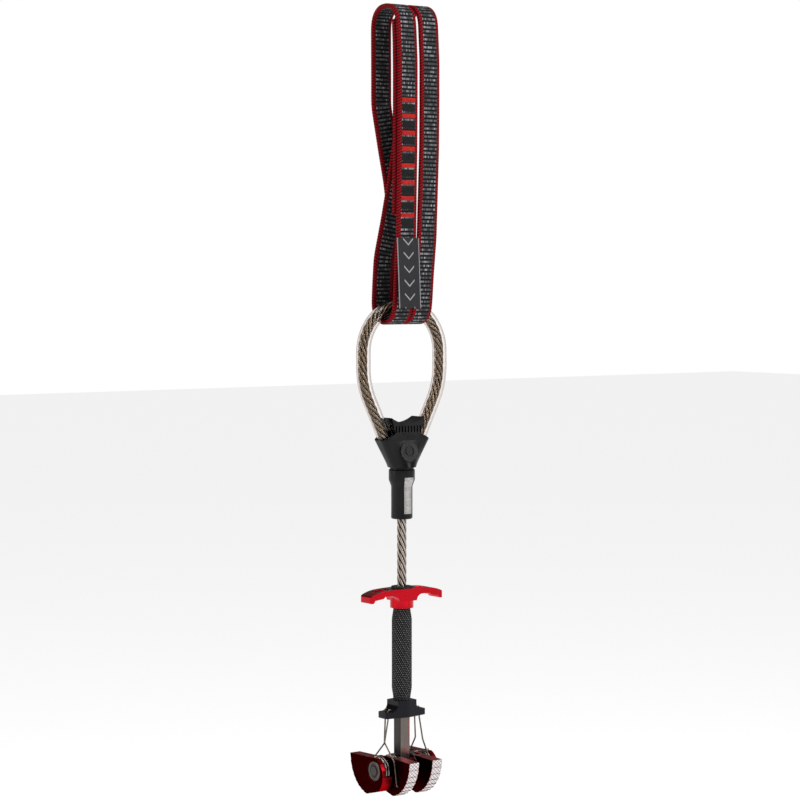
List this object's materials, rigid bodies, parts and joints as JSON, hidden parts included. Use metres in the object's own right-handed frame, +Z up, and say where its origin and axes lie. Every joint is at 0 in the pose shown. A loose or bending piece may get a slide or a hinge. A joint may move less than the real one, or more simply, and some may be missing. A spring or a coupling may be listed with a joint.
{
  "type": "spring loaded camming device",
  "caption": "Cable-stemmed climbing protection device: toothed sprung cam lobes on an axle, a sliding trigger with wires, a thumb loop and a sewn sling.",
  "frame": {"origin": "inside of the sling's top bend, where a carabiner hangs the device", "axes": "+Z up the stem from the lobes to the sling, X along the lobes' axle, -Y the front, the side of the boot's label"},
  "size_m": [0.0558, 0.0422, 0.4059],
  "materials": {
    "webbing": "woven, grey and black with red edges",
    "thread": "satin stitch",
    "tag_cloth": "woven tag",
    "cable_steel": "stranded",
    "cable_dark": "stranded, inside a tube",
    "terminal_steel": "satin",
    "axle_steel": "turned",
    "spacer_plastic": "plain",
    "ferrule_metal": "pressed",
    "moulded_black": "satin moulded",
    "label_face": "plain printed label",
    "clear_tube": "clear tube",
    "red_anodised": "bright red anodised",
    "guide_plastic": "smooth",
    "braid": "braided sleeve",
    "collar_black": "black anodised",
    "lobe_aluminium": "dark red anodised, bare toothed faces",
    "spring_steel": "bright wire",
    "wire_steel": "fine wire"
  },
  "bodies": {
    "sling": {"sling_webbing": "webbing", "bar_tacks": "thread", "sling_tag": "tag_cloth"},
    "stem": {"stem_cable": "cable_steel", "stem_terminal": "terminal_steel", "axle": "axle_steel", "axle_heads": "axle_steel", "lobe_spacers": "spacer_plastic", "swage_ferrule": "ferrule_metal", "boot": "moulded_black", "boot_label": "label_face", "thumb_loop_cable": "cable_dark", "thumb_loop_tube": "clear_tube"},
    "trigger": {"trigger_bar": "red_anodised", "trigger_bushing": "moulded_black", "guide_tube": "guide_plastic", "braided_sleeve": "braid", "wire_collar": "collar_black", "trigger_wire_1": "wire_steel", "trigger_wire_2": "wire_steel", "trigger_wire_3": "wire_steel", "trigger_wire_4": "wire_steel"},
    "lobe_1": {"cam_lobe_1": "lobe_aluminium", "lobe_spring_1": "spring_steel"},
    "lobe_2": {"cam_lobe_2": "lobe_aluminium", "lobe_spring_2": "spring_steel"},
    "lobe_3": {"cam_lobe_3": "lobe_aluminium", "lobe_spring_3": "spring_steel"},
    "lobe_4": {"cam_lobe_4": "lobe_aluminium", "lobe_spring_4": "spring_steel"}
  },
  "joints": [
    {"name": "stem_swing", "type": "hinge", "parent": "sling", "child": "stem", "pos_m": [0, 0, -0.1509], "axis": [1, 0, 0], "range_deg": [-120, 120]},
    {"name": "trigger_slide", "type": "slide", "parent": "stem", "child": "trigger", "axis": [0, 0, 1], "range_m": [0, 0.0143], "stiffness_N_per_m": 1000, "springref_m": -0.008},
    {"name": "lobe_1_turn", "type": "hinge", "parent": "stem", "child": "lobe_1", "pos_m": [0, 0, -0.3908], "axis": [1, 0, 0], "range_deg": [0, 72.5]},
    {"name": "lobe_2_turn", "type": "hinge", "parent": "stem", "child": "lobe_2", "pos_m": [0, 0, -0.3908], "axis": [-1, 0, 0], "range_deg": [0, 72.5]},
    {"name": "lobe_3_turn", "type": "hinge", "parent": "stem", "child": "lobe_3", "pos_m": [0, 0, -0.3908], "axis": [-1, 0, 0], "range_deg": [0, 72.5]},
    {"name": "lobe_4_turn", "type": "hinge", "parent": "stem", "child": "lobe_4", "pos_m": [0, 0, -0.3908], "axis": [1, 0, 0], "range_deg": [0, 72.5]}
  ],
  "couplings": [
    {"joint": "lobe_1_turn", "follows": "trigger_slide", "rad_per_m": 87.619},
    {"joint": "lobe_2_turn", "follows": "trigger_slide", "rad_per_m": 87.619},
    {"joint": "lobe_3_turn", "follows": "trigger_slide", "rad_per_m": 87.619},
    {"joint": "lobe_4_turn", "follows": "trigger_slide", "rad_per_m": 87.619}
  ]
}
